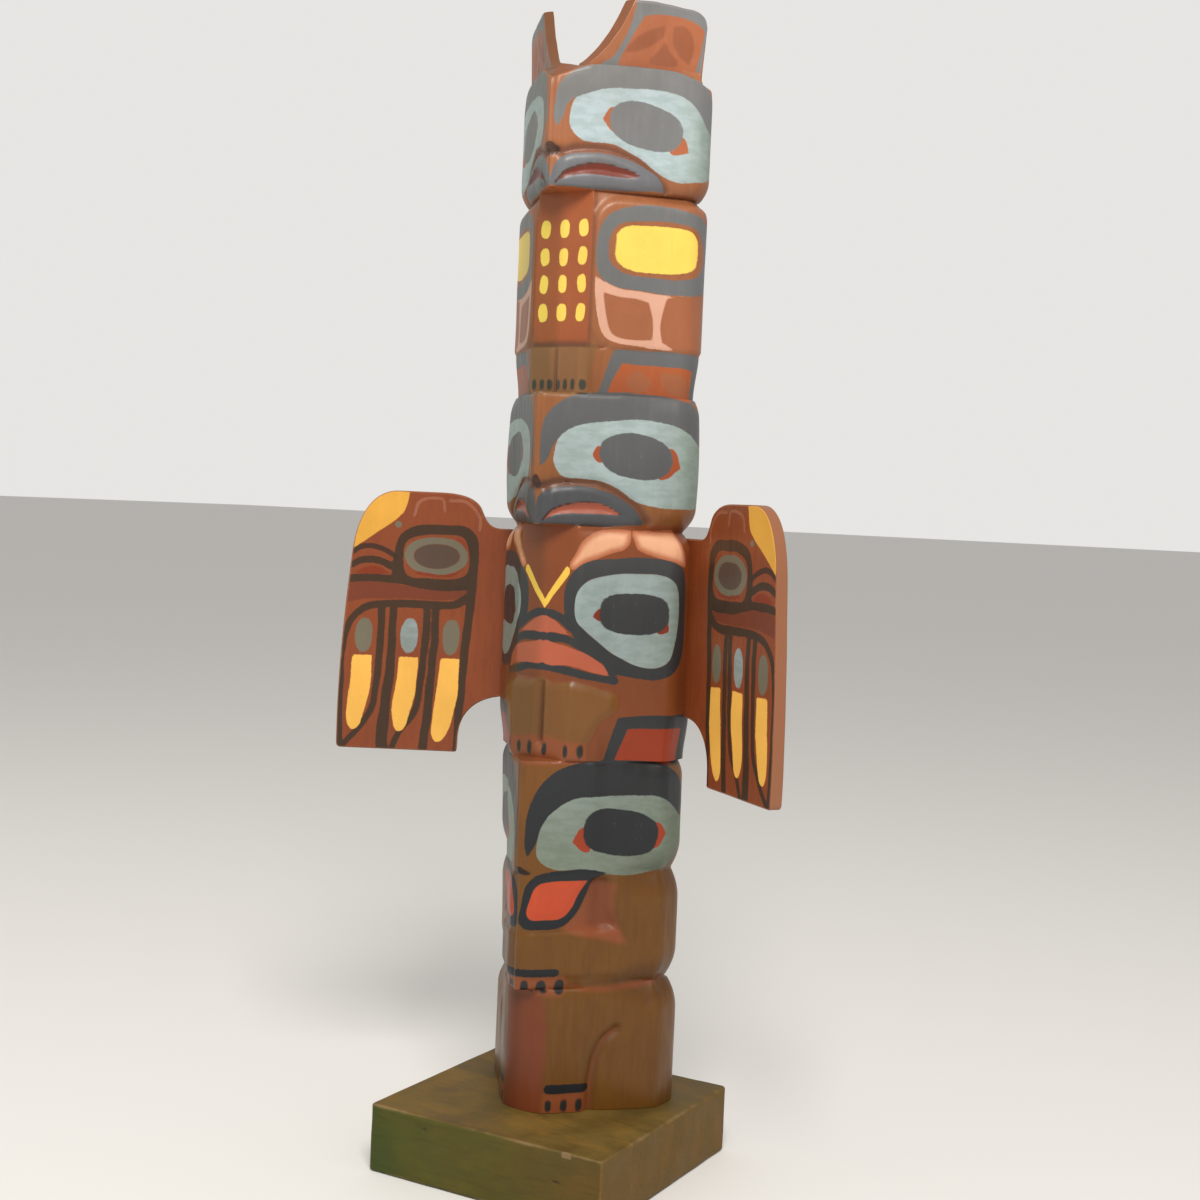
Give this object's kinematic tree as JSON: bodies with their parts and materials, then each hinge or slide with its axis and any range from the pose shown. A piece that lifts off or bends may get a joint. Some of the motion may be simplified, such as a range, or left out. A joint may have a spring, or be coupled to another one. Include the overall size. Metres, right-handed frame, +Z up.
{
  "type": "model totem pole",
  "caption": "Carved and painted wooden model totem pole: stacked animal heads, a standing figure and a bird with outspread board wings, on a square stained wooden plinth.",
  "frame": {"origin": "centre of the plinth's underside", "axes": "+Z up along the pole, -Y the front that the faces look towards, +X to the right for someone looking at the front"},
  "size_m": [0.2992, 0.1572, 0.6485],
  "materials": {
    "stained_wood": "satin",
    "painted_wood": "satin",
    "wing_wood": "satin"
  },
  "bodies": {
    "root": {"plinth": "stained_wood", "pole": "painted_wood", "wing_right": "wing_wood", "wing_left": "wing_wood"}
  },
  "joints": []
}
